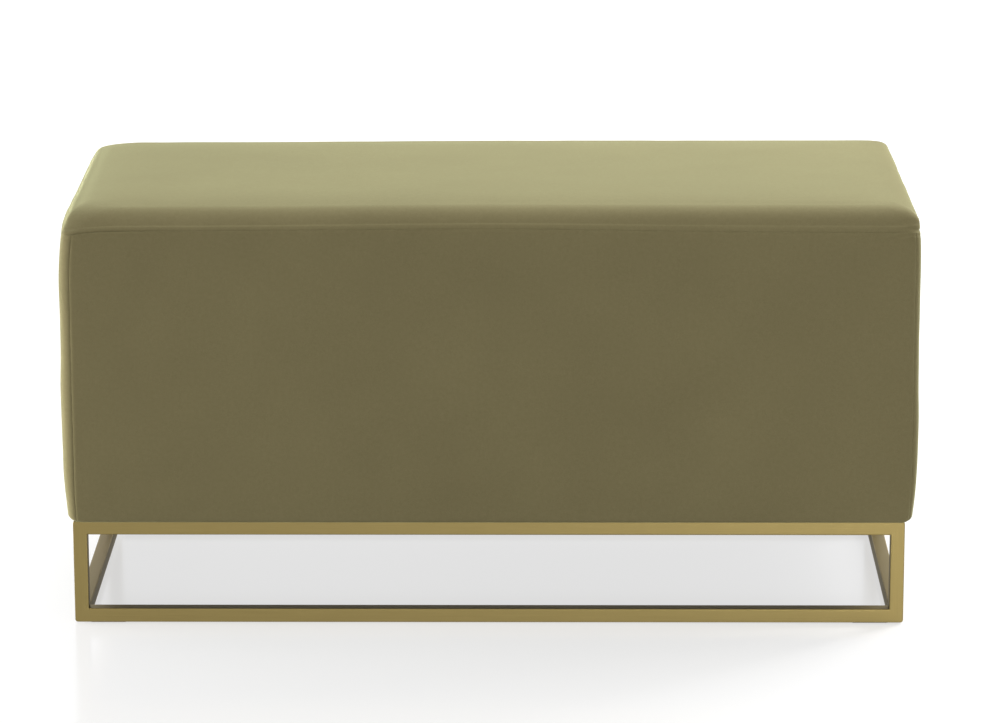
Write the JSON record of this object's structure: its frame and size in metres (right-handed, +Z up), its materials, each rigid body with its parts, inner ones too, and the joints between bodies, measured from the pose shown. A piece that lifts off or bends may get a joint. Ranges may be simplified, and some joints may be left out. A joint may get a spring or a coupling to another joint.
{
  "type": "upholstered stool",
  "caption": "Long low upholstered stool: a box seat covered in olive-green velvet with a stitched top seam, on an open base of slim brushed-gold square tube.",
  "frame": {"origin": "on the floor, under the middle of the seat", "axes": "+X to the right along the length, -Y out of the front, +Z up"},
  "size_m": [0.9, 0.4, 0.45],
  "materials": {
    "velvet": "short-pile olive velvet",
    "gold_metal": "satin brushed gold plating on steel tube",
    "zinc_steel": "zinc-plated fastener",
    "felt": "pressed brown felt",
    "plywood": "raw plywood",
    "pine": "raw pine",
    "foam": "cut upholstery foam",
    "dust_cloth": "black non-woven cloth"
  },
  "bodies": {
    "root": {"top_cover": "velvet", "front_cover": "velvet", "back_cover": "velvet", "left_cover": "velvet", "right_cover": "velvet", "seat_foam": "foam", "front_foam": "foam", "back_foam": "foam", "left_foam": "foam", "right_foam": "foam", "seat_deck": "plywood", "front_panel": "plywood", "back_panel": "plywood", "left_panel": "plywood", "right_panel": "plywood", "centre_rib": "plywood", "bottom_board": "plywood", "corner_block_front_left": "pine", "corner_block_front_right": "pine", "corner_block_back_left": "pine", "corner_block_back_right": "pine", "dust_cover": "dust_cloth", "front_upper_rail": "gold_metal", "front_lower_rail": "gold_metal", "front_left_post": "gold_metal", "front_right_post": "gold_metal", "back_upper_rail": "gold_metal", "back_lower_rail": "gold_metal", "back_left_post": "gold_metal", "back_right_post": "gold_metal", "left_upper_rail": "gold_metal", "left_lower_rail": "gold_metal", "right_upper_rail": "gold_metal", "right_lower_rail": "gold_metal", "corner_plate_front_left": "gold_metal", "corner_plate_front_right": "gold_metal", "corner_plate_back_left": "gold_metal", "corner_plate_back_right": "gold_metal", "seat_bolt_front_left": "zinc_steel", "seat_bolt_front_right": "zinc_steel", "seat_bolt_back_left": "zinc_steel", "seat_bolt_back_right": "zinc_steel", "t_nut_front_left": "zinc_steel", "t_nut_front_right": "zinc_steel", "t_nut_back_left": "zinc_steel", "t_nut_back_right": "zinc_steel", "floor_pad_front_left": "felt", "floor_pad_front_right": "felt", "floor_pad_back_left": "felt", "floor_pad_back_right": "felt"}
  },
  "joints": []
}
